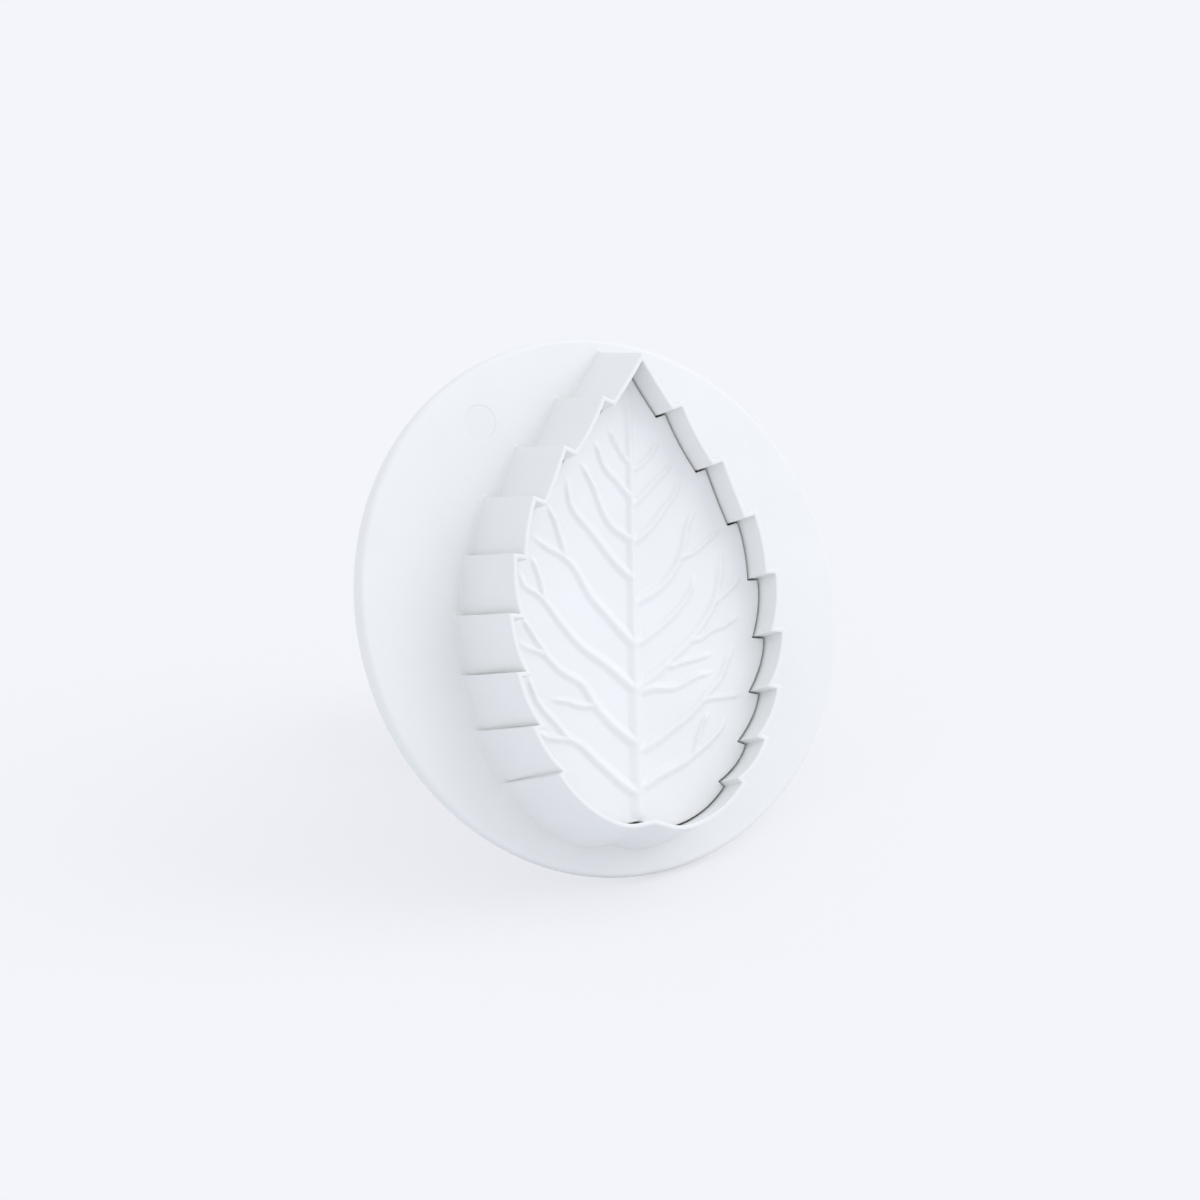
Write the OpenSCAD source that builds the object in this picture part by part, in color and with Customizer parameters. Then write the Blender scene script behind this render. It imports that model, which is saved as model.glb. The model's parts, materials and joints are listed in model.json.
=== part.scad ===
// Veined leaf plunger cutter for sugar paste and pastry.
// It lies as it rests on a table: on the back edge of its flange and the edge of its push knob.
// Each piece is drawn on the tool's own axis (z is 0 at the cutting edge, and the knob is at
// minus z), and lay() puts it in the resting pose.

/* [Leaf cutter] */
// Length of the leaf, from the tip to the base lobes
leaf_len = 68; // [66:0.5:84]
// Width of the leaf across its widest teeth
leaf_wid = 44.4; // [43:0.2:56]
// Height of the cutting wall above the flange
wall_h = 13.4; // [9:0.2:20]
// Width of the flat land on the cutting edge
edge_land = 0.65; // [0.5:0.05:1]
// How much thicker the wall is at its foot, from the moulding draft
wall_draft = 1.4; // [0.6:0.1:1.5]

/* [Flange] */
// Flange left outside the wall at the leaf's tip
flange_margin = 2.05; // [1.5:0.05:8]
// Depth of the flange's turned-back rim
rim_depth = 2.6; // [2.2:0.1:6]
// Thickness of the rim's wall
rim_wall = 1.6; // [1.2:0.1:3]
// Thickness of the web that closes the back of the cutter
web_t = 1.8; // [1.2:0.1:2]
// Rounding of the flange's front edge
front_round = 0.8; // [0.3:0.1:1]
// Rounding of the flange's back edge
back_round = 0.6; // [0.3:0.1:0.8]
// Radius of the ejector pin's mark on the flange
mark_r = 2.6; // [1.5:0.1:3.5]

/* [Plate] */
// Depth of the veined plate below the cutting edge
recess = 4.75; // [3:0.25:6]
// Thickness of the veined plate
plate_t = 2.4; // [2:0.1:3.5]
// Gap all round, between the plate and the wall
plate_gap = 0.3; // [0.2:0.05:0.6]
// Height of the veins above the plate
vein_h = 0.4; // [0.2:0.05:0.8]
// Radius of the boss behind the plate
boss_r = 6.5; // [6:0.5:10]
// Depth of the stem's socket beyond the back of the plate
plate_socket = 0.6; // [0.3:0.1:1]

/* [Plunger] */
// How far the plate is pushed out
travel = 6; // [4:0.5:8]
// Radius of the stem where it runs in the sleeve
stem_r = 4; // [3:0.25:4.5]
// Radius of the stem's shoulder, which stops the push
shoulder_r = 5; // [4.8:0.1:5.2]
// Radial running clearance of the stem in the sleeve
stem_clear = 0.08; // [0.05:0.01:0.1]
// Clearance of the stem in the sockets that hold it
socket_clear = 0.02; // [0.01:0.01:0.05]
// Gap that is left at each end stop
stop_gap = 0.1; // [0.05:0.05:0.3]

/* [Sleeve] */
// Length of the guide sleeve behind the web
sleeve_len = 18.8; // [12:0.2:30]
// Outer radius of the guide sleeve
sleeve_r = 7.5; // [7:0.25:10]

/* [Spring] */
// Space for the spring, from the sleeve to the knob
spring_gap = 16.8; // [14:0.2:26]
// Middle radius of the spring's turns
spring_r = 6; // [5.8:0.1:6.4]
// Thickness of the spring's wire
wire_d = 0.9; // [0.6:0.1:1]
// Number of turns
turns = 7; // [5:1:8]

/* [Knob] */
// Radius of the push knob
knob_r = 13; // [10:0.5:18]
// Height of the push knob
knob_h = 13; // [10:0.5:20]
// Rounding of the knob's pressed edge
knob_round = 2; // [1:0.25:4]
// Rounding of the knob's front edge
knob_front_round = 1; // [0.5:0.25:1.5]
// Depth of the stem's socket in the knob
knob_socket = 8; // [5:0.5:9]

/* [Resting pose] */
// Turn of the leaf about the tool's axis as it lies
roll = 16.7; // [0:0.1:45]

/* [Hidden] */
$fn = 96;

// The leaf's right half is drawn 68 long and 44.4 wide. Each tooth points up and outwards, a
// short edge leads in from its notch, and a bowed edge runs on down to the next notch.
drawn_len = 68;
drawn_wid = 44.4;
leaf_tip = [0, 34.2];
teeth = [
    [6.4, 27.8], [13, 20.05], [18.15, 12.35], [21.4, 3.9],
    [22.2, -4.8], [21.1, -13.2], [18.65, -20.8], [14.7, -27.3]
];
notches = [
    [4.8, 27.2], [11.3, 19.4], [16.45, 11.8], [19.7, 3.75],
    [20.3, -4.8], [19.45, -13], [17.35, -20.45], [13.9, -26.6]
];
bows = [-0.1, -0.3, -0.1, 0.35, 0.5, 0.6, 0.55, 0.6];
lobe_side = [6.8, -33.3];
lobe_foot = [2.9, -33.75];
base_cusp = [0, -33.1];
vein_roots = [19.5, 14.5, 8.4, 1, -7, -13.6, -21.8, -28.4];

// Points from a up to b, with the middle pushed out to the left of the way by bow
function bowed(a, b, bow, steps) = [
    for (i = [0:steps - 1])
        let (t = i / steps, way = b - a, out = [-way[1], way[0]] / norm(way))
            a + way * t + out * bow * 4 * t * (1 - t)
];
right_side = concat(
    [for (i = [0:7]) each concat(
        bowed(i == 0 ? leaf_tip : teeth[i - 1], notches[i], bows[i], 2),
        [notches[i]]
    )],
    bowed(teeth[7], lobe_side, 0.75, 4),
    bowed(lobe_side, lobe_foot, 0.25, 3),
    [lobe_foot]
);
left_side = [for (i = [len(right_side) - 1:-1:1]) [-right_side[i][0], right_side[i][1]]];
drawn_leaf = concat(right_side, [base_cusp], left_side);
leaf_line = [for (p = drawn_leaf) [p[0] * leaf_wid / drawn_wid, p[1] * leaf_len / drawn_len]];

// The closed line p moved outwards by d, with its corners kept sharp
function out_of(a, b) = [a[1] - b[1], b[0] - a[0]] / norm(b - a);
function moved_out(p, d) = [
    for (i = [0:len(p) - 1])
        let (
            n1 = out_of(p[(i + len(p) - 1) % len(p)], p[i]),
            n2 = out_of(p[i], p[(i + 1) % len(p)])
        )
            p[i] + (n1 + n2) * d / (1 + n1 * n2)
];
sink = 0.2;
edge_line = moved_out(leaf_line, edge_land);
foot_line = moved_out(leaf_line, edge_land + wall_draft);
sunk_line = moved_out(leaf_line, edge_land + wall_draft * (wall_h + sink) / wall_h);

// Places along the tool's axis
flange_r = max([for (p = foot_line) norm(p)]) + flange_margin;
rim_back = -wall_h - rim_depth;
web_back = -wall_h - web_t;
sleeve_end = web_back - sleeve_len;
bore_r = stem_r + stem_clear;
plate_back = -recess - plate_t;
boss_end = -wall_h + stop_gap;
knob_front = sleeve_end - spring_gap;
knob_back = knob_front - knob_h;
stem_front = plate_back + plate_socket;
stem_back = knob_front - knob_socket;
shoulder_front = sleeve_end - travel - stop_gap;
mark_turn = 127.3;
mark_place = (flange_r - 7.2) * [cos(mark_turn), sin(mark_turn)];

// The tool lies on the rounded back edge of its rim and the rounded edge of its knob. The
// lean is the angle between the tool's axis and the table.
rest_rise = flange_r - back_round - knob_r + knob_round;
rest_run = (rim_back + back_round) - (knob_back + knob_round);
round_step = knob_round - back_round;
lean = atan2(rest_rise, rest_run) - asin(round_step / norm([rest_rise, rest_run]));
lift = (flange_r - back_round) * cos(lean) - (rim_back + back_round) * sin(lean) + back_round;
front_y = sin(lean) * min([for (p = edge_line) cos(roll) * p[1] - sin(roll) * p[0]]);
back_y = (knob_r - knob_round) * sin(lean) - (knob_back + knob_round) * cos(lean) + knob_round;
mid_y = (front_y + back_y) / 2;
echo(flange_r = flange_r, lean = lean, lift = lift, mid_y = mid_y, knob_back = knob_back);

module lay() {
    translate([0, -mid_y, lift])
        rotate([90 - lean, 0, 0])
            rotate([0, 0, -roll])
                children();
}

// A quarter round about c, from angle a to angle a + 90
function quarter(c, r, a) = [for (i = [0:6]) c + r * [cos(a + 15 * i), sin(a + 15 * i)]];

module flange_and_sleeve() {
    root = 1.5;
    bevel = 0.5;
    rotate_extrude()
        polygon(concat(
            [[bore_r, -wall_h], [bore_r, sleeve_end], [sleeve_r - bevel, sleeve_end]],
            [[sleeve_r, sleeve_end + bevel], [sleeve_r, web_back - root]],
            [[sleeve_r + root, web_back], [flange_r - rim_wall, web_back]],
            [[flange_r - rim_wall, rim_back]],
            quarter([flange_r - back_round, rim_back + back_round], back_round, -90),
            quarter([flange_r - front_round, -wall_h - front_round], front_round, 0)
        ));
}

// The wall is a closed band of four rings: its foot and edge outside, its edge and foot inside
module leaf_wall() {
    count = len(leaf_line);
    low = -wall_h - sink;
    points = concat(
        [for (p = sunk_line) [p[0], p[1], low]],
        [for (p = edge_line) [p[0], p[1], 0]],
        [for (p = leaf_line) [p[0], p[1], 0]],
        [for (p = leaf_line) [p[0], p[1], low]]
    );
    polyhedron(
        points = points,
        faces = [for (ring = [0:3], i = [0:count - 1])
            let (next = (i + 1) % count, up = (ring + 1) % 4)
                [ring * count + i, ring * count + next, up * count + next, up * count + i]],
        convexity = 8
    );
}

module cutter_body() {
    mark_depth = 0.12;
    mark_line = 0.3;
    color("whitesmoke")
        lay()
            difference() {
                union() {
                    flange_and_sleeve();
                    leaf_wall();
                }
                translate([mark_place[0], mark_place[1], -wall_h - mark_depth])
                    difference() {
                        cylinder(r = mark_r, h = 1);
                        translate([0, 0, -1])
                            cylinder(r = mark_r - mark_line, h = 3);
                    }
            }
}

// One straight vein from a to b, wider at a
module vein(a, b, wide_a, wide_b) {
    out = out_of(a, b);
    translate([0, 0, -recess - sink])
        linear_extrude(vein_h + sink)
            polygon([
                a - out * wide_a / 2, a + out * wide_a / 2,
                b + out * wide_b / 2, b - out * wide_b / 2
            ]);
}

module leaf_plate() {
    across = leaf_wid / drawn_wid;
    along = leaf_len / drawn_len;
    reach = 0.8;
    color("white")
        lay()
            difference() {
                union() {
                    translate([0, 0, plate_back])
                        linear_extrude(plate_t)
                            polygon(moved_out(leaf_line, -plate_gap));
                    translate([0, 0, boss_end])
                        cylinder(r = boss_r, h = plate_back - boss_end + sink);
                    vein([0, -31.5 * along], [0, 30.5 * along], 2.2, 0.7);
                    for (side = [-1, 1], i = [0:7])
                        vein(
                            [0, vein_roots[i] * along],
                            [side * reach * teeth[i][0] * across, reach * teeth[i][1] * along],
                            1.3,
                            0.7
                        );
                }
                translate([0, 0, boss_end - 1])
                    cylinder(r = stem_r + socket_clear, h = stem_front - boss_end + 1);
            }
}

module plunger_stem() {
    bevel = 0.4;
    color("white")
        lay()
            rotate_extrude()
                polygon([
                    [0, stem_front], [stem_r - bevel, stem_front], [stem_r, stem_front - bevel],
                    [stem_r, shoulder_front], [shoulder_r, shoulder_front],
                    [shoulder_r, knob_front], [stem_r, knob_front],
                    [stem_r, stem_back + bevel], [stem_r - bevel, stem_back], [0, stem_back]
                ]);
}

// The wire's middle line: a turned-in end, the turns, and a turned-in end
spring_play = 0.05;
turn_steps = 8;
spring_top = sleeve_end - spring_play;
spring_foot = knob_front + spring_play;
function wire_point(i) =
    let (t = i / (turns * turn_steps), a = 360 * i / turn_steps)
        [spring_r * cos(a), spring_r * sin(a), spring_foot + wire_d
            + (spring_top - spring_foot - 2 * wire_d) * t];
wire_line = concat(
    [wire_point(0) - [0, 0, wire_d]],
    [for (i = [0:turns * turn_steps]) wire_point(i)],
    [wire_point(turns * turn_steps) + [0, 0, wire_d]]
);
function wire_way(i) =
    i == 0 || i == len(wire_line) - 1
        ? [0, 0, 1]
        : (wire_line[i + 1] - wire_line[i]) / norm(wire_line[i + 1] - wire_line[i])
            + (wire_line[i] - wire_line[i - 1]) / norm(wire_line[i] - wire_line[i - 1]);
function wire_ring(i) =
    let (
        way = wire_way(i) / norm(wire_way(i)),
        across = cross(way, [wire_line[i][0], wire_line[i][1], 0]),
        b = across / norm(across),
        a = cross(b, way)
    )
        [for (k = [0:5]) wire_line[i] + wire_d / 2 * (a * cos(60 * k) + b * sin(60 * k))];
spring_gap_to_self = min([
    for (i = [0:len(wire_line) - 1], j = [i + turn_steps / 2:1:len(wire_line) - 1])
        norm(wire_line[i] - wire_line[j])
]) - wire_d;
echo(spring_gap_to_self = spring_gap_to_self);

module return_spring() {
    rings = len(wire_line);
    color("silver")
        lay()
            polyhedron(
                points = [for (i = [0:rings - 1]) each wire_ring(i)],
                faces = concat(
                    [[for (k = [0:5]) k]],
                    [for (i = [0:rings - 2], k = [0:5])
                        let (next = (k + 1) % 6)
                            each [
                                [6 * i + k, 6 * i + 6 + k, 6 * i + 6 + next],
                                [6 * i + k, 6 * i + 6 + next, 6 * i + next]
                            ]],
                    [[for (k = [0:5]) 6 * rings - 1 - k]]
                ),
                convexity = 12
            );
}

module push_knob() {
    color("white")
        lay()
            rotate_extrude()
                polygon(concat(
                    [[0, knob_back]],
                    quarter([knob_r - knob_round, knob_back + knob_round], knob_round, -90),
                    quarter(
                        [knob_r - knob_front_round, knob_front - knob_front_round],
                        knob_front_round,
                        0
                    ),
                    [[stem_r + socket_clear, knob_front]],
                    [[stem_r + socket_clear, stem_back], [0, stem_back]]
                ));
}

cutter_body();
leaf_plate();
plunger_stem();
return_spring();
push_knob();
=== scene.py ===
import json
import math
import bmesh
import bpy
import numpy as np
from mathutils import Matrix, Vector
from mathutils.geometry import delaunay_2d_cdt


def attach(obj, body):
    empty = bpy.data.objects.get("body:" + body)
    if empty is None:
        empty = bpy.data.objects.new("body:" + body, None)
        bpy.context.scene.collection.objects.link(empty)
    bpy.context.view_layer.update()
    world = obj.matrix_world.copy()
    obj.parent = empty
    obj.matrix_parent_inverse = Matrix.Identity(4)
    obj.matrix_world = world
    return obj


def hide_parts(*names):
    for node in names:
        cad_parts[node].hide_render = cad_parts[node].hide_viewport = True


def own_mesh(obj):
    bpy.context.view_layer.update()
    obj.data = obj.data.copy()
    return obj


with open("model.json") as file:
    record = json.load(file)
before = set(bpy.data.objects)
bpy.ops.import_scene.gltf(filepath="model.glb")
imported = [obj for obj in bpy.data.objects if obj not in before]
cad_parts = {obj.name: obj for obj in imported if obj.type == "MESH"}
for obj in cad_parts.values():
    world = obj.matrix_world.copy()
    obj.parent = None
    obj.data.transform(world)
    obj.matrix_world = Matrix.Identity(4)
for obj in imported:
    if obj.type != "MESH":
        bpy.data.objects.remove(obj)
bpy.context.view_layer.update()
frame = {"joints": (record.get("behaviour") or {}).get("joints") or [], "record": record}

# The tool is modelled on its own axis in mm: x to the right of the leaf, y to its tip, z out of
# its face, and 0 at the cutting edge. toolPlace turns that into the resting pose, in metres.
tool = {
    "roll": 16.7,  # degrees that the leaf is turned as it lies
    "wallHeight": 13.4,
    "rimDepth": 2.6,
    "rimWall": 1.6,
    "web": 1.8,
    "sleeveLength": 18.8,
    "sleeveRadius": 7.5,
    "stemRadius": 4.0,
    "stopGap": 0.1,
    "socketClearance": 0.02,
    "knobSocket": 8.0,
    "springSpace": 16.8,
    "knobHeight": 13.0,
    "knobRadius": 13.0,
    "flangeRadius": 40.0,
}
webBack = -tool["wallHeight"] - tool["web"]
sleeveEnd = webBack - tool["sleeveLength"]
knobFront = sleeveEnd - tool["springSpace"]
knobBack = knobFront - tool["knobHeight"]

outward = Vector(frame["joints"][0]["axis"]).normalized()
lean = math.asin(outward.z)
roll = math.radians(tool["roll"])
level = Vector((1, 0, 0))
uphill = Vector((0, math.sin(lean), math.cos(lean)))
leafRight = level * math.cos(roll) - uphill * math.sin(roll)
leafUp = level * math.sin(roll) + uphill * math.cos(roll)
pushFace = Vector(frame["record"]["mounts"][0]["pos_m"])
edgeCentre = pushFace - outward * knobBack * 0.001
toolPlace = Matrix.Translation(edgeCentre) @ Matrix(
    (leafRight * 0.001, leafUp * 0.001, outward * 0.001)
).transposed().to_4x4()


def toLinear(hexColour):
    parts = [int(hexColour[i:i + 2], 16) / 255 for i in (1, 3, 5)]
    return tuple(
        c / 12.92 if c <= 0.04045 else ((c + 0.055) / 1.055) ** 2.4 for c in parts
    ) + (1.0,)


# Adds a node, sets its inputs or options by name, and links sockets to its named inputs
def addNode(tree, kind, settings=None, links=None):
    node = tree.nodes.new(kind)
    for name, value in (settings or {}).items():
        if name in node.inputs:
            node.inputs[name].default_value = value
        else:
            setattr(node, name, value)
    for name, source in (links or {}).items():
        tree.links.new(source, node.inputs[name])
    return node


# Injection-moulded polypropylene: white, with painted shade that darkens its corners and creases to a
# warm grey, a satin gloss, a faint orange peel and fine rubbed scratches.
mouldedWhite = {
    "light": "#F4F4F3",
    "deep": "#ECEDEC",
    # the warm grey of the painted shade in corners and creases
    "corner": "#D9DAD2",
    "roughness": (0.3, 0.42),
    "ior": 1.49,
    "blotchSize": 14.0,  # mm
    "peelSize": 0.9,  # mm
    "peelDepth": 0.008,  # mm
    "peelStrength": 0.35,
    "paintedShadeReach": 1.6,  # mm
    "paintedShadeOpen": (0.25, 0.95),  # how open a corner is where its painted shade is full, and where it ends
    "paintedShadeShare": 0.3,  # the most of the painted shade's grey that shows
    "paintedShadeSamples": 6,
    "rubSize": 3.5,  # mm
}


def makeMouldedPlastic(name, finish):
    material = bpy.data.materials.new(name)
    material.use_nodes = True
    tree = material.node_tree
    tree.nodes.clear()
    place = addNode(tree, "ShaderNodeTexCoord").outputs["Object"]
    blotch = addNode(
        tree, "ShaderNodeTexNoise",
        {"Scale": 1000 / finish["blotchSize"], "Detail": 3.0, "Roughness": 0.5},
        {"Vector": place},
    )
    # of a mix node's sockets, inputs 0, 6 and 7 are the factor and the colours A and B, and
    # output 2 is the mixed colour
    colour = addNode(tree, "ShaderNodeMix", {"data_type": "RGBA"})
    tree.links.new(blotch.outputs["Fac"], colour.inputs[0])
    colour.inputs[6].default_value = toLinear(finish["light"])
    colour.inputs[7].default_value = toLinear(finish["deep"])
    # painted shade: where ambient occlusion finds surfaces close by, the colour is mixed towards the
    # warm grey, darkening corners and creases
    corner = addNode(
        tree, "ShaderNodeAmbientOcclusion",
        {"samples": finish["paintedShadeSamples"], "Distance": finish["paintedShadeReach"] / 1000},
    )
    paintedShadeMask = addNode(
        tree, "ShaderNodeMapRange",
        {
            "From Min": finish["paintedShadeOpen"][0], "From Max": finish["paintedShadeOpen"][1],
            "To Min": finish["paintedShadeShare"], "To Max": 0.0,
        },
        {"Value": corner.outputs["AO"]},
    )
    paintedShadeMixed = addNode(tree, "ShaderNodeMix", {"data_type": "RGBA"})
    tree.links.new(paintedShadeMask.outputs["Result"], paintedShadeMixed.inputs[0])
    paintedShadeMixed.inputs[7].default_value = toLinear(finish["corner"])
    tree.links.new(colour.outputs[2], paintedShadeMixed.inputs[6])
    rub = addNode(
        tree, "ShaderNodeTexNoise",
        {"Scale": 1000 / finish["rubSize"], "Detail": 5.0, "Roughness": 0.7},
        {"Vector": place},
    )
    gloss = addNode(
        tree, "ShaderNodeMapRange",
        {"To Min": finish["roughness"][0], "To Max": finish["roughness"][1]},
        {"Value": rub.outputs["Fac"]},
    )
    peel = addNode(
        tree, "ShaderNodeTexNoise",
        {"Scale": 1000 / finish["peelSize"], "Detail": 1.0},
        {"Vector": place},
    )
    bump = addNode(
        tree, "ShaderNodeBump",
        {"Strength": finish["peelStrength"], "Distance": finish["peelDepth"] / 1000},
        {"Height": peel.outputs["Fac"]},
    )
    shader = addNode(
        tree, "ShaderNodeBsdfPrincipled",
        {"IOR": finish["ior"]},
        {
            "Base Color": paintedShadeMixed.outputs[2],
            "Roughness": gloss.outputs["Result"],
            "Normal": bump.outputs["Normal"],
        },
    )
    addNode(tree, "ShaderNodeOutputMaterial", {}, {"Surface": shader.outputs["BSDF"]})
    return material


# Drawn stainless spring wire: bright, with fine lines left by the die
springWire = {
    "bright": "#C9C8C6",
    "dull": "#A3A19E",
    "roughness": (0.18, 0.34),
    "line": 0.25,  # mm
    "lineDepth": 0.01,  # mm
    "lineStrength": 0.3,
    "toneStops": (0.35, 0.65),  # where the wire's tone leaves dull and reaches bright
}


def makeSpringWire():
    material = bpy.data.materials.new("drawnStainlessWire")
    material.use_nodes = True
    tree = material.node_tree
    tree.nodes.clear()
    place = addNode(tree, "ShaderNodeTexCoord").outputs["Object"]
    lines = addNode(
        tree, "ShaderNodeTexNoise",
        {"Scale": 1000 / springWire["line"], "Detail": 2.0, "Distortion": 0.4},
        {"Vector": place},
    )
    ramp = addNode(tree, "ShaderNodeValToRGB", {}, {"Fac": lines.outputs["Fac"]})
    ramp.color_ramp.elements[0].color = toLinear(springWire["dull"])
    ramp.color_ramp.elements[1].color = toLinear(springWire["bright"])
    ramp.color_ramp.elements[0].position = springWire["toneStops"][0]
    ramp.color_ramp.elements[1].position = springWire["toneStops"][1]
    gloss = addNode(
        tree, "ShaderNodeMapRange",
        {"To Min": springWire["roughness"][0], "To Max": springWire["roughness"][1]},
        {"Value": lines.outputs["Fac"]},
    )
    bump = addNode(
        tree, "ShaderNodeBump",
        {"Strength": springWire["lineStrength"], "Distance": springWire["lineDepth"] / 1000},
        {"Height": lines.outputs["Fac"]},
    )
    shader = addNode(
        tree, "ShaderNodeBsdfPrincipled",
        {"Metallic": 1.0},
        {
            "Base Color": ramp.outputs["Color"],
            "Roughness": gloss.outputs["Result"],
            "Normal": bump.outputs["Normal"],
        },
    )
    addNode(tree, "ShaderNodeOutputMaterial", {}, {"Surface": shader.outputs["BSDF"]})
    return material


# Finishes a mesh drawn in tool mm: into the resting pose, faces out, smooth up to sharpAngle
def finishPiece(bm, name, material, body, node, sharpAngle=32):
    bmesh.ops.transform(bm, matrix=toolPlace, verts=bm.verts)
    bmesh.ops.recalc_face_normals(bm, faces=bm.faces)
    mesh = bpy.data.meshes.new(name)
    bm.to_mesh(mesh)
    bm.free()
    mesh.shade_smooth()
    mesh.set_sharp_from_angle(angle=math.radians(sharpAngle))
    mesh.materials.append(material)
    piece = bpy.data.objects.new(name, mesh)
    bpy.context.scene.collection.objects.link(piece)
    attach(piece, body)
    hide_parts(node)
    return piece


# Points of a round corner about centre, from angle start through 90 degrees
def roundCorner(centre, radius, start, steps=8):
    return [
        (
            centre[0] + radius * math.cos(math.radians(start + 90 * i / steps)),
            centre[1] + radius * math.sin(math.radians(start + 90 * i / steps)),
        )
        for i in range(steps + 1)
    ]


# Spins a profile of (radius, height) points about the tool's axis
def spinProfile(bm, profile, closed, steps=192):
    verts = [bm.verts.new((r, 0, z)) for r, z in profile]
    pairs = list(zip(verts, verts[1:]))
    if closed:
        pairs.append((verts[-1], verts[0]))
    edges = [bm.edges.new(pair) for pair in pairs]
    bmesh.ops.spin(
        bm, geom=verts + edges, cent=(0, 0, 0), axis=(0, 0, 1),
        angle=2 * math.pi, steps=steps, use_merge=True, use_duplicate=False,
    )
    bmesh.ops.remove_doubles(bm, verts=bm.verts, dist=0.0001)


# The right half of the leaf at the cutting edge, inside the wall. Each tooth points up and
# outwards, and a bowed edge runs from it to the next notch.
leaf = {
    "tip": (0, 34.2),
    "teeth": [
        (6.4, 27.8), (13, 20.05), (18.15, 12.35), (21.4, 3.9),
        (22.2, -4.8), (21.1, -13.2), (18.65, -20.8), (14.7, -27.3),
    ],
    "notches": [
        (4.8, 27.2), (11.3, 19.4), (16.45, 11.8), (19.7, 3.75),
        (20.3, -4.8), (19.45, -13), (17.35, -20.45), (13.9, -26.6),
    ],
    "bows": [-0.1, -0.3, -0.1, 0.35, 0.5, 0.6, 0.55, 0.6],
    "lobeSide": (6.8, -33.3),
    "lobeSideBow": 0.75,
    "lobeFoot": (2.9, -33.75),
    "lobeFootBow": 0.25,
    "cusp": (0, -33.1),
    "land": 0.65,  # flat of the cutting edge
    "draft": 1.4,  # what the wall gains by its foot
    "footRound": 0.5,
    "cornerRound": 0.17,
    "mostOfAnEdge": 0.4,  # the largest share of a short edge that its corner takes
    "cornerCut": 0.45,  # how far the corner goes towards a straight cut
    "sharpFrom": 30,  # degrees of turn
    "edgeRound": 0.12,
    "bowSteps": 8,
}


def bowed(a, b, bow, steps):
    a, b = Vector(a), Vector(b)
    way = b - a
    side = Vector((-way.y, way.x)).normalized()
    return [a + way * t + side * bow * 4 * t * (1 - t) for t in (i / steps for i in range(steps))]


# The closed leaf line moved outwards by distance, corners kept sharp and bows kept smooth
def leafLine(distance):
    right = []
    start = leaf["tip"]
    for tooth, notch, bow in zip(leaf["teeth"], leaf["notches"], leaf["bows"]):
        right += bowed(start, notch, bow, 2) + [Vector(notch)]
        start = tooth
    right += bowed(start, leaf["lobeSide"], leaf["lobeSideBow"], 10)
    right += bowed(leaf["lobeSide"], leaf["lobeFoot"], leaf["lobeFootBow"], 6)
    right.append(Vector(leaf["lobeFoot"]))
    left = [Vector((-p.x, p.y)) for p in reversed(right[1:])]
    line = right + [Vector(leaf["cusp"])] + left
    count = len(line)
    moved = []
    for i in range(count):
        ways = [line[i] - line[i - 1], line[(i + 1) % count] - line[i]]
        n1, n2 = [Vector((-w.y, w.x)).normalized() for w in ways]
        moved.append(line[i] + (n1 + n2) * distance / (1 + n1.dot(n2)))
    # a bow's three points become a smooth curve through them, on both halves
    ring = []
    bowStarts = {3 * k for k in range(8)} | {(count - 3 * k - 2) % count for k in range(8)}
    i = 0
    while i < count:
        if i in bowStarts:
            a, m, b = moved[i], moved[i + 1], moved[(i + 2) % count]
            for s in range(leaf["bowSteps"]):
                t = s / leaf["bowSteps"]
                ring.append(a * (1 - t) * (1 - 2 * t) + m * 4 * t * (1 - t) + b * t * (2 * t - 1))
            i += 2
        else:
            ring.append(moved[i])
            i += 1
    return ring


def turnAt(line, i):
    before, after = line[i] - line[i - 1], line[(i + 1) % len(line)] - line[i]
    return abs(before.angle_signed(after))


cuttingLine = leafLine(0)
sharpCorners = {
    i for i in range(len(cuttingLine)) if turnAt(cuttingLine, i) > math.radians(leaf["sharpFrom"])
}


# The leaf line with the small radius that a mould gives each sharp corner
def leafRing(distance):
    line = leafLine(distance)
    ring = []
    for i, corner in enumerate(line):
        if i not in sharpCorners:
            ring.append(corner)
            continue
        ends = []
        for way in (line[i - 1] - corner, line[(i + 1) % len(line)] - corner):
            share = min(leaf["cornerRound"] / max(way.length, 0.001), leaf["mostOfAnEdge"])
            ends.append(corner + way * share)
        ring += [ends[0], corner.lerp((ends[0] + ends[1]) / 2, leaf["cornerCut"]), ends[1]]
    return ring


# Extrudes the leaf's ring through each (distance, height) level of a wall, and joins the last
# level to the first
def extrudeLevels(bm, levels):
    ringVerts = [bm.verts.new((p.x, p.y, levels[0][1])) for p in leafRing(levels[0][0])]
    edges = [bm.edges.new((v, ringVerts[i - 1])) for i, v in enumerate(ringVerts)]
    first = ringVerts
    for distance, height in levels[1:]:
        order = {v: i for i, v in enumerate(ringVerts)}
        made = bmesh.ops.extrude_edge_only(bm, edges=edges)
        newEdges = [g for g in made["geom"] if isinstance(g, bmesh.types.BMEdge)]
        newVerts = [g for g in made["geom"] if isinstance(g, bmesh.types.BMVert)]
        place = leafRing(distance)
        nextRing = [None] * len(ringVerts)
        for v in newVerts:
            for e in v.link_edges:
                old = e.other_vert(v)
                if old in order:
                    nextRing[order[old]] = v
        for i, v in enumerate(nextRing):
            v.co = (place[i].x, place[i].y, height)
        edges = [e for e in newEdges if e.verts[0] in nextRing and e.verts[1] in nextRing]
        ringVerts = nextRing
    firstEdges = [e for e in bm.edges if e.verts[0] in first and e.verts[1] in first]
    bmesh.ops.bridge_loops(bm, edges=firstEdges + edges)


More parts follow.
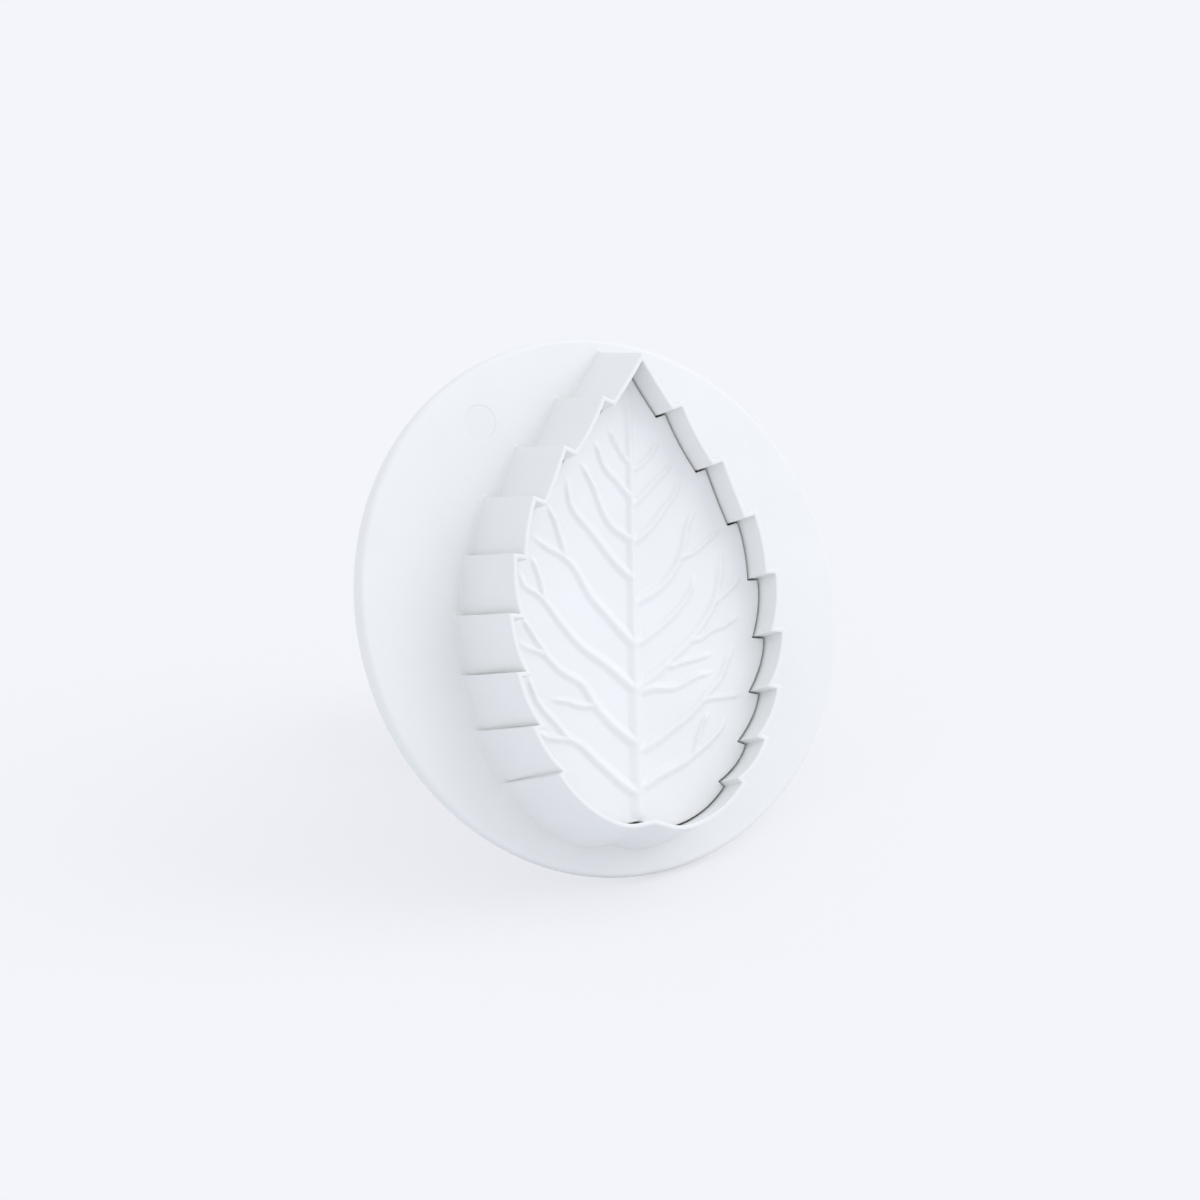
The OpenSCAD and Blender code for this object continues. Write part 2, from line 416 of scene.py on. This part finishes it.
# Sizes of the flange's edges, and the round mark that an ejector pin left on its face
flange = {
    "frontRound": 0.8,
    "backRound": 0.6,
    "sleeveRoot": 1.5,
    "sleeveBevel": 0.5,
    "boreRadius": 4.08,
    "boreBevel": 0.3,
    "webCorner": 0.4,
    "mark": (-19.9, 26.1),
    "markRadius": 2.6,
    "markDepth": 0.1,
    "markTilt": 1.3,  # degrees, so that it is deeper on one side
    "pinHeight": 1.0,
    "pinTaper": (0.06, 0.5),  # what the pin's radius loses at its end and gains at its root
    "wallSink": 0.1,  # how far the wall's foot goes into the flange
}


def makeCutterBody(material):
    top = -tool["wallHeight"]
    rimBack = top - tool["rimDepth"]
    radius = tool["flangeRadius"]
    root = flange["sleeveRoot"]
    sleeve = tool["sleeveRadius"]
    rootArc = [
        (
            sleeve + root - root * math.cos(math.radians(a)),
            webBack - root + root * math.sin(math.radians(a)),
        )
        for a in range(0, 91, 15)
    ]
    bore, boreBevel, bevel = flange["boreRadius"], flange["boreBevel"], flange["sleeveBevel"]
    profile = [(bore, top - boreBevel), (bore, sleeveEnd + boreBevel)]
    profile += [(bore + boreBevel, sleeveEnd), (sleeve - bevel, sleeveEnd)]
    profile += [(sleeve - bevel * 0.3, sleeveEnd + bevel * 0.3), (sleeve, sleeveEnd + bevel)]
    profile += rootArc
    inner = radius - tool["rimWall"]
    corner = flange["webCorner"]
    profile += [(inner - corner * 1.25, webBack), (inner - corner * 0.3, webBack - corner * 0.3)]
    profile += [(inner, webBack - corner)]
    profile += [(inner, rimBack + bevel * 0.3), (inner + bevel * 0.3, rimBack)]
    profile += roundCorner(
        (radius - flange["backRound"], rimBack + flange["backRound"]),
        flange["backRound"], -90,
    )
    profile += roundCorner(
        (radius - flange["frontRound"], top - flange["frontRound"]),
        flange["frontRound"], 0,
    )
    profile += [(bore + boreBevel, top)]
    bm = bmesh.new()
    spinProfile(bm, profile, closed=True)
    bmesh.ops.recalc_face_normals(bm, faces=bm.faces)
    flangeMesh = bpy.data.meshes.new("flangeDisc")
    bm.to_mesh(flangeMesh)
    bm.free()
    disc = bpy.data.objects.new("flangeDisc", flangeMesh)
    bpy.context.scene.collection.objects.link(disc)

    bm = bmesh.new()
    endTaper, rootTaper = flange["pinTaper"]
    bmesh.ops.create_cone(
        bm, cap_ends=True, segments=64, radius1=flange["markRadius"] - endTaper,
        radius2=flange["markRadius"] + rootTaper, depth=flange["pinHeight"],
    )
    tilt = Matrix.Rotation(math.radians(flange["markTilt"]), 3, (1, -1, 0))
    bmesh.ops.rotate(bm, verts=bm.verts, cent=(0, 0, 0), matrix=tilt)
    pinMiddle = top + flange["pinHeight"] / 2 - flange["markDepth"]
    bmesh.ops.translate(bm, verts=bm.verts, vec=(*flange["mark"], pinMiddle))
    pinMesh = bpy.data.meshes.new("pinMark")
    bm.to_mesh(pinMesh)
    bm.free()
    pin = bpy.data.objects.new("pinMark", pinMesh)
    bpy.context.scene.collection.objects.link(pin)
    cut = disc.modifiers.new("pinMark", "BOOLEAN")
    cut.operation = "DIFFERENCE"
    cut.solver = "EXACT"
    cut.object = pin
    ready = bpy.data.meshes.new_from_object(
        disc.evaluated_get(bpy.context.evaluated_depsgraph_get())
    )
    bpy.data.objects.remove(disc)
    bpy.data.objects.remove(pin)

    land, full = leaf["land"], leaf["land"] + leaf["draft"]
    foot, edge = leaf["footRound"], leaf["edgeRound"]
    sunk = top - flange["wallSink"]
    levels = [
        (full + foot, sunk),
        (full + foot, top + 0.01),
        (full + foot * 0.35, top + foot * 0.2),
        (full + foot * 0.02, top + foot * 0.9),
        (full - leaf["draft"] * 0.1, top + tool["wallHeight"] * 0.1),
        (land + edge * 0.15, -edge * 1.6),
        (land - edge * 0.25, -edge * 0.4),
        (land - edge, 0),
        (edge, 0),
        (edge * 0.25, -edge * 0.4),
        (0, -edge * 1.4),
        (0, sunk),
    ]
    bm = bmesh.new()
    extrudeLevels(bm, levels)
    bm.from_mesh(ready)
    print("cutter body", len(bm.faces))
    return finishPiece(bm, "cutterBody", material, "cutter", "cutter_body", 34)


# Sizes of the plate and of its veins' round backs
plate = {
    "recess": 4.75,
    "thickness": 2.4,
    "gap": 0.3,
    "veinHeight": 0.5,
    "veinSpread": 0.78,  # half a vein's foot, as a share of its width
    "veinPlump": 0.8,  # below 1 a vein's sides are steeper and its back rounder
    "spacing": 0.26,  # of the points on its face
    "rowShare": 0.866,  # from one row of them to the next, in spacings
    "rimMargin": 0.6,  # what they keep clear of its rim, in spacings
    "edgeRound": 0.12,
    "bossRadius": 6.5,
    "bossBevel": 0.3,
    "lowestVein": 0.55,  # height of a very thin vein, as a share of veinHeight
    "fullWidth": 1.4,  # width of a vein that has the full height
    "fadeStart": 0.35,  # height at a vein's very end, as a share of its own
    "fadeRate": 6,  # how fast it rises from there
    "veinBlend": 4,  # how sharply the veins run into each other
}

# Each vein is (width at the root, width at the end, points from the end to the root)
veins = [
    (2.2, 0.75, [(0, 30.5), (0.1, 20), (0, 8), (-0.05, -8), (0, -20), (0, -31.5)]),
    (0.9, 0.6, [(-3.2, 24.3), (-2.5, 22.8), (-1.6, 21.6), (-0.8, 20.5), (-0.1, 19.8)]),
    (1.1, 0.65, [(-5.6, 22.3), (-5.1, 21), (-4.5, 19.4), (-3.7, 18.3), (-2.5, 17.3), (-0.3, 15)]),
    (1.2, 0.65, [
        (-8, 19), (-7.3, 18), (-6.2, 16), (-5.3, 13.8), (-4.6, 12.1), (-3.7, 10.7),
        (-2.5, 9.7), (-0.2, 8.5),
    ]),
    (1.3, 0.7, [
        (-10.4, 16.6), (-10.35, 15), (-10.1, 13.4), (-9.5, 12.1), (-8.5, 11), (-7.2, 9.8),
        (-6, 8.5), (-4.9, 7.2), (-3.8, 5.9), (-2.5, 4.6), (-1.3, 3.6), (-0.2, 2.8),
    ]),
    (1.45, 0.7, [
        (-16.3, 8), (-15.2, 7.2), (-13.8, 6.4), (-12.3, 5.8), (-11, 5), (-10, 4.2), (-9, 2.9),
        (-8.2, 1.5), (-7.3, 0), (-6.2, -1.2), (-4.9, -2.4), (-3.5, -3.8), (-2.3, -5),
        (-1.2, -6), (-0.2, -7),
    ]),
    (0.95, 0.65, [
        (-13.5, 12.3), (-12.9, 10.9), (-12.3, 9.5), (-11.9, 8.2), (-11.4, 6.9), (-11.2, 5.4),
    ]),
    (1.5, 0.7, [
        (-18.5, 2.2), (-18, 0.8), (-17.1, 0.2), (-16, -0.2), (-14.9, -1.1), (-13.8, -2.3),
        (-12.5, -3.9), (-11.2, -5.4), (-9.7, -6.9), (-8.2, -8.1), (-6.5, -9.1), (-4.7, -10.2),
        (-3, -11.4), (-1.5, -12.6), (-0.2, -13.6),
    ]),
    (0.8, 0.65, [(-16.5, 4.6), (-15.9, 3.2), (-15.4, 2), (-15.1, 0.8), (-14.8, -0.6)]),
    (1.55, 0.75, [
        (-18.6, -7.8), (-17.5, -8.4), (-16.2, -8.7), (-15, -9.1), (-13.9, -10), (-12.8, -11.1),
        (-11.2, -12), (-9.8, -12.6), (-8.6, -13.4), (-7.8, -14.6), (-7, -15.8), (-6, -17.1),
        (-4.8, -18.2), (-3.4, -19.4), (-1.8, -20.5), (-0.2, -21.5),
    ]),
    (0.85, 0.65, [(-18.2, -4.2), (-17.3, -5.6), (-16.4, -6.9), (-15.3, -8.3), (-14.6, -9.3)]),
    (0.95, 0.65, [
        (-13.7, -15.7), (-12.3, -15.8), (-11, -15.9), (-9.8, -16.3), (-8.7, -16.4),
        (-7.5, -16.3), (-6.9, -16),
    ]),
    (1.5, 0.75, [
        (-16, -20.6), (-14.8, -21.2), (-13.3, -21.3), (-11.8, -21.3), (-10.4, -21.6),
        (-9.2, -22.2), (-8, -23.2), (-6.7, -24.3), (-5.4, -25.3), (-4, -26.4), (-2.6, -27.5),
        (-1.2, -28.3), (-0.2, -28.8),
    ]),
    (1.0, 0.65, [
        (-17.6, -12.6), (-17.1, -14.2), (-16.3, -16), (-15.2, -17.3), (-14, -18.4),
        (-12.9, -19.5), (-11.9, -20.6), (-11.2, -21.3),
    ]),
    (0.9, 0.6, [(4.8, 23.2), (3.6, 21.5), (2.6, 20.3), (1.5, 19.4), (0.2, 18.8)]),
    (1.1, 0.65, [
        (6.9, 20.2), (5.8, 18.8), (4.5, 17.7), (3.3, 16.5), (2.1, 15.2), (1, 14.2), (0.2, 13.7),
    ]),
    (1.2, 0.65, [
        (8.2, 17.8), (7.6, 16), (6.5, 14.5), (5.2, 13), (4, 11.4), (2.8, 10.1), (1.6, 9.1),
        (0.3, 8.2),
    ]),
    (1.35, 0.7, [
        (10.5, 13.2), (9.7, 11.8), (9.1, 10.2), (8.7, 8.3), (8.1, 6.4), (7.3, 4.8), (6.2, 3.3),
        (4.8, 1.9), (3.3, 0.8), (1.8, 0), (0.3, -0.8),
    ]),
    (0.85, 0.6, [(14.5, 10.4), (13, 9.3), (11.5, 8), (10.2, 7.1), (9, 6.6), (8.1, 6.2)]),
    (1.3, 0.65, [
        (10.3, 3.4), (9.7, 1.5), (8.6, -0.1), (7.2, -1.7), (5.7, -3.1), (4.2, -4.3),
        (2.6, -5.4), (1.2, -6.3), (0.2, -6.9),
    ]),
    (1.5, 0.7, [
        (15, 7), (14.8, 5), (14.4, 3), (13.8, 0.5), (12.8, -1.5), (11.5, -3.3), (10.1, -5),
        (8.6, -6.6), (7.1, -7.9), (5.5, -9.3), (3.9, -10.7), (2.3, -12), (0.9, -13), (0.2, -13.4),
    ]),
    (0.8, 0.6, [(17.8, 3.7), (17.2, 2.8), (16, 1.7), (14.8, 0.8), (13.5, -0.3)]),
    (0.9, 0.6, [
        (17.3, -2.2), (16, -3), (14.7, -3.7), (13.3, -4.1), (12.2, -4.8), (11, -5.6), (9.5, -6),
    ]),
    (0.9, 0.6, [(12.5, -7.9), (10.5, -8.6), (9, -9), (7.5, -9.3), (6.3, -9.9), (5, -9.8)]),
    (1.3, 0.65, [
        (12.5, -10.6), (10.5, -11.1), (9, -11.8), (7.5, -12.6), (6.2, -13.1), (4.7, -13.2),
        (3, -13.2), (1.5, -13.6), (0.3, -14),
    ]),
    (1.5, 0.7, [
        (16.5, -6.6), (16, -7.5), (15.3, -8.9), (14.8, -10.3), (14, -11.6), (13, -12.6),
        (12, -13.6), (11, -14.8), (10, -15.9), (8.9, -16.9), (7, -18.3), (5, -19.7),
        (3.2, -20.9), (1.5, -21.9), (0.3, -22.6),
    ]),
    (0.85, 0.6, [(17.2, -13.7), (15.7, -14), (14, -14.2), (12.3, -14.4), (10.8, -14.9)]),
    (1.5, 0.7, [
        (14.6, -17.5), (14.2, -18.4), (13.5, -19.4), (12.3, -20.5), (11, -21.6), (9.5, -22.7),
        (8, -23.8), (6.5, -24.6), (4.8, -25.4), (3.2, -26.2), (1.7, -27.2), (0.3, -28),
    ]),
    (0.85, 0.6, [
        (12, -16.8), (11.2, -17.9), (10.7, -18.9), (10.2, -20.2), (9.9, -21.5), (9.3, -22.8),
    ]),
]


# Height of the veins above the plate at each point: round ribs that run into each other
def veinRelief(points):
    blend = plate["veinBlend"]
    low, fade = plate["lowestVein"], plate["fadeStart"]
    total = np.zeros(len(points))
    for rootWidth, endWidth, line in veins:
        line = np.array(line, float)
        lengths = np.linalg.norm(np.diff(line, axis=0), axis=1)
        run = np.concatenate([[0], np.cumsum(lengths)])
        best = np.zeros(len(points))
        for k in range(len(line) - 1):
            a, way = line[k], line[k + 1] - line[k]
            t = np.clip(((points - a) @ way) / (way @ way), 0, 1)
            away = np.linalg.norm(points - a - t[:, None] * way, axis=1)
            along = (run[k] + t * lengths[k]) / run[-1]
            width = endWidth + (rootWidth - endWidth) * along
            reach = width * plate["veinSpread"]
            share = np.clip(low + (1 - low) * width / plate["fullWidth"], 0, 1.05)
            wave = 0.5 + 0.5 * np.cos(np.pi * np.clip(away / reach, 0, 1))
            rib = plate["veinHeight"] * share * wave ** plate["veinPlump"]
            best = np.maximum(best, rib * np.clip(fade + plate["fadeRate"] * along, 0, 1))
        total += best ** blend
    return total ** (1 / blend)


def insideRing(points, ring):
    inside = np.zeros(len(points), bool)
    for a, b in zip(ring, np.roll(ring, -1, axis=0)):
        crosses = (a[1] > points[:, 1]) != (b[1] > points[:, 1])
        rise = b[1] - a[1] if b[1] != a[1] else 1e-9
        inside ^= crosses & (points[:, 0] < (b[0] - a[0]) * (points[:, 1] - a[1]) / rise + a[0])
    return inside


def makeLeafPlate(material):
    edge = plate["edgeRound"]
    rim = np.array(leafRing(-plate["gap"] - edge))
    guard = np.array(leafRing(-plate["gap"] - edge - plate["spacing"] * plate["rimMargin"]))
    step = plate["spacing"]
    rows = np.arange(rim[:, 1].min(), rim[:, 1].max(), step * plate["rowShare"])
    grid = np.array([
        (x + (step / 2 if k % 2 else 0), y)
        for k, y in enumerate(rows)
        for x in np.arange(rim[:, 0].min(), rim[:, 0].max(), step)
    ])
    grid = grid[insideRing(grid, guard)]
    spots = [Vector(p) for p in rim] + [Vector(p) for p in grid]
    rimEdges = [(i, (i + 1) % len(rim)) for i in range(len(rim))]
    verts, _, faces, origin, _, _ = delaunay_2d_cdt(spots, rimEdges, [], 1, 1e-6)
    height = veinRelief(np.array([tuple(v) for v in verts]))
    bm = bmesh.new()
    made = [
        bm.verts.new((v.x, v.y, -plate["recess"] + h)) for v, h in zip(verts, height)
    ]
    for f in faces:
        bm.faces.new([made[i] for i in f])
    # the rim's points go round and down to the back of the plate
    slot = {}
    for i, olds in enumerate(origin):
        for old in olds:
            if old < len(rim):
                slot[made[i]] = old
    edges = [e for e in bm.edges if e.is_boundary]
    levels = [
        (-plate["gap"] - edge * 0.3, -plate["recess"] - edge * 0.3),
        (-plate["gap"], -plate["recess"] - edge),
        (-plate["gap"], -plate["recess"] - plate["thickness"]),
    ]
    for distance, z in levels:
        place = leafRing(distance)
        grown = bmesh.ops.extrude_edge_only(bm, edges=edges)["geom"]
        nextSlot = {}
        for v in (g for g in grown if isinstance(g, bmesh.types.BMVert)):
            for e in v.link_edges:
                other = e.other_vert(v)
                if other in slot:
                    nextSlot[v] = slot[other]
        for v, index in nextSlot.items():
            v.co = (place[index].x, place[index].y, z)
        edges = [
            g for g in grown
            if isinstance(g, bmesh.types.BMEdge) and g.verts[0] in nextSlot and g.verts[1] in nextSlot
        ]
        slot = nextSlot
    bmesh.ops.contextual_create(bm, geom=edges)
    inside = -plate["recess"] - plate["thickness"] / 2
    bossEnd = -tool["wallHeight"] + tool["stopGap"]
    bevel = plate["bossBevel"]
    boss = [(0, inside), (plate["bossRadius"], inside), (plate["bossRadius"], bossEnd + bevel)]
    boss += [(plate["bossRadius"] - bevel, bossEnd), (0, bossEnd)]
    spinProfile(bm, boss, closed=False, steps=64)
    print("leaf plate", len(bm.faces))
    return finishPiece(bm, "leafPlate", material, "plunger", "leaf_plate", 40)


# The stem's shoulder, which stops the push at the sleeve, and how far the stem goes into the plate
stem = {"shoulderRadius": 5.0, "intoPlate": 0.6, "bevel": 0.4, "shoulderBevel": 0.3}


def makeStem(material):
    front = -plate["recess"] - plate["thickness"] + stem["intoPlate"]
    back = knobFront - tool["knobSocket"]
    r, shoulder = tool["stemRadius"], stem["shoulderRadius"]
    bevel, step = stem["bevel"], stem["shoulderBevel"]
    travel = frame["joints"][0]["range_m"][1] * 1000
    shoulderFront = sleeveEnd - travel - tool["stopGap"]
    bm = bmesh.new()
    spinProfile(
        bm,
        [
            (0, front), (r - bevel, front), (r, front - bevel), (r, shoulderFront + step),
            (r + step / 2, shoulderFront), (shoulder - step, shoulderFront),
            (shoulder, shoulderFront - step), (shoulder, knobFront), (r, knobFront),
            (r, back + bevel), (r - bevel, back), (0, back),
        ],
        closed=False, steps=96,
    )
    return finishPiece(bm, "plungerStem", material, "plunger", "plunger_stem")


# The knob's edges, and the mark that the moulding's gate left in the middle of its end
knob = {
    "backRound": 2.0,
    "frontRound": 1.0,
    "gateRadius": 1.6,
    "gateDepth": 0.15,
    "gateBevel": 0.1,
}


def makeKnob(material):
    radius = tool["knobRadius"]
    back, front = knob["backRound"], knob["frontRound"]
    gate, bevel = knob["gateRadius"], knob["gateBevel"]
    gateFloor = knobBack + knob["gateDepth"]
    profile = [(0, gateFloor), (gate - bevel, gateFloor)]
    profile += [(gate, knobBack + bevel / 2), (gate + bevel, knobBack)]
    profile += roundCorner((radius - back, knobBack + back), back, -90, 12)
    profile += roundCorner((radius - front, knobFront - front), front, 0)
    socket = tool["stemRadius"] + tool["socketClearance"]
    socketEnd = knobFront - tool["knobSocket"]
    profile += [(socket, knobFront), (socket, socketEnd), (0, socketEnd)]
    bm = bmesh.new()
    spinProfile(bm, profile, closed=False)
    return finishPiece(bm, "pushKnob", material, "plunger", "push_knob")


# The spring's wire and turns, with the turns at its two ends closed up
spring = {
    "radius": 6.0,
    "wire": 0.9,
    "turns": 8,
    "endTurns": 1.0,
    "endPitch": 1.04,  # in wires
    "play": 0.05,
    "steps": 40,
}


def makeSpring(material):
    wire = spring["wire"]
    low = knobFront + spring["play"] + wire / 2
    high = sleeveEnd - spring["play"] - wire / 2
    ends = spring["endTurns"]
    closedRise = wire * spring["endPitch"]
    total = spring["turns"]
    count = int(total * spring["steps"])
    curve = bpy.data.curves.new("springLine", "CURVE")
    curve.dimensions = "3D"
    curve.bevel_depth = wire / 2
    curve.bevel_resolution = 4
    curve.use_fill_caps = True
    line = curve.splines.new("POLY")
    line.points.add(count)
    middle = (high - low - 2 * closedRise * ends) / (total - 2 * ends)
    for i in range(count + 1):
        turn = total * i / count
        if turn < ends:
            z = low + closedRise * turn
        elif turn < total - ends:
            z = low + closedRise * ends + middle * (turn - ends)
        else:
            z = high - closedRise * (total - turn)
        a = 2 * math.pi * turn
        line.points[i].co = (
            spring["radius"] * math.cos(a), spring["radius"] * math.sin(a), z, 1
        )
    holder = bpy.data.objects.new("springLine", curve)
    bpy.context.scene.collection.objects.link(holder)
    tube = bpy.data.meshes.new_from_object(
        holder.evaluated_get(bpy.context.evaluated_depsgraph_get())
    )
    bpy.data.objects.remove(holder)
    bm = bmesh.new()
    bm.from_mesh(tube)
    bmesh.ops.remove_doubles(bm, verts=bm.verts, dist=0.0001)
    piece = finishPiece(bm, "returnSpring", material, "cutter", "return_spring", 60)
    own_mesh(piece)
    return piece


# The photograph's view: a long lens, from the left of the leaf and above
view = {
    "place": (-379.7, -117.4, 674.0),  # mm, in the tool's own axes
    "right": (0.877, -0.026, 0.479),
    "down": (0.049, -0.989, -0.143),
    "lens": 162.0,
    "sensor": 36.0,
}


def makeCamera():
    camera = bpy.data.cameras.new("photoView")
    camera.lens = view["lens"]
    camera.sensor_width = view["sensor"]
    camera.clip_start = 0.01
    camera.clip_end = 50
    holder = bpy.data.objects.new("photoView", camera)
    bpy.context.scene.collection.objects.link(holder)
    turn = toolPlace.to_3x3().normalized()
    right = (turn @ Vector(view["right"])).normalized()
    up = -(turn @ Vector(view["down"]))
    back = right.cross(up).normalized()
    up = back.cross(right).normalized()
    rotation = Matrix((right, up, back)).transposed().to_4x4()
    holder.matrix_world = Matrix.Translation(toolPlace @ Vector(view["place"])) @ rotation
    bpy.context.scene.camera = holder
    return right, (-back * Vector((1, 1, 0))).normalized()


studio = {
    "floor": "#EDEEF1",
    "floorReach": 6.0,  # m, from its middle to each side
    "floorRoughness": 0.9,
    "floorGloss": 0.1,
    "backdrop": "#F7F8FC",  # what the camera sees of an evenly lit floor
    "backdropShare": 0.62,
    "sky": "#F5F8FF",
    "skyStrength": 0.95,
    "sunStrength": 0.62,
    "sunAngle": 46,  # degrees across, which softens the shadows
    "sunWay": (1.0, 0.12, 0.9),  # to the right, away from the camera, and up
}


def makeStudio(right, ahead):
    bm = bmesh.new()
    bmesh.ops.create_grid(bm, x_segments=4, y_segments=4, size=studio["floorReach"])
    mesh = bpy.data.meshes.new("studioFloor")
    bm.to_mesh(mesh)
    bm.free()
    floor = bpy.data.objects.new("studioFloor", mesh)
    bpy.context.scene.collection.objects.link(floor)
    paper = bpy.data.materials.new("matteBackdropPaper")
    paper.use_nodes = True
    shader = paper.node_tree.nodes["Principled BSDF"]
    shader.inputs["Base Color"].default_value = toLinear(studio["floor"])
    shader.inputs["Roughness"].default_value = studio["floorRoughness"]
    shader.inputs["Specular IOR Level"].default_value = studio["floorGloss"]
    # the camera sees the paper mostly evenly lit, as in an overexposed studio shot
    tree = paper.node_tree
    seen = addNode(tree, "ShaderNodeLightPath")
    even = addNode(tree, "ShaderNodeEmission")
    even.inputs["Color"].default_value = toLinear(studio["backdrop"])
    share = addNode(tree, "ShaderNodeMath", {"operation": "MULTIPLY"})
    tree.links.new(seen.outputs["Is Camera Ray"], share.inputs[0])
    share.inputs[1].default_value = studio["backdropShare"]
    mixed = addNode(tree, "ShaderNodeMixShader", {}, {"Fac": share.outputs["Value"]})
    tree.links.new(shader.outputs["BSDF"], mixed.inputs[1])
    tree.links.new(even.outputs["Emission"], mixed.inputs[2])
    tree.links.new(mixed.outputs["Shader"], tree.nodes["Material Output"].inputs["Surface"])
    mesh.materials.append(paper)

    world = bpy.data.worlds.new("studioSky")
    bpy.context.scene.world = world
    world.use_nodes = True
    sky = world.node_tree.nodes["Background"]
    sky.inputs["Color"].default_value = toLinear(studio["sky"])
    sky.inputs["Strength"].default_value = studio["skyStrength"]

    lamp = bpy.data.lights.new("softSun", "SUN")
    lamp.energy = studio["sunStrength"]
    lamp.angle = math.radians(studio["sunAngle"])
    sun = bpy.data.objects.new("softSun", lamp)
    bpy.context.scene.collection.objects.link(sun)
    across, away, high = studio["sunWay"]
    toSun = (right * across + ahead * away + Vector((0, 0, high))).normalized()
    sun.rotation_mode = "QUATERNION"
    sun.rotation_quaternion = toSun.to_track_quat("Z", "Y")
    bpy.context.scene.view_settings.view_transform = "Standard"


right, ahead = makeCamera()
makeStudio(right, ahead)
print("camera and studio")
plastic = makeMouldedPlastic("mouldedPolypropylene", mouldedWhite)
platePlastic = makeMouldedPlastic("mouldedPlate", dict(mouldedWhite, light="#F6F6F6"))
makeCutterBody(plastic)
makeLeafPlate(platePlastic)
makeStem(plastic)
makeKnob(plastic)
makeSpring(makeSpringWire())
print("pieces made")
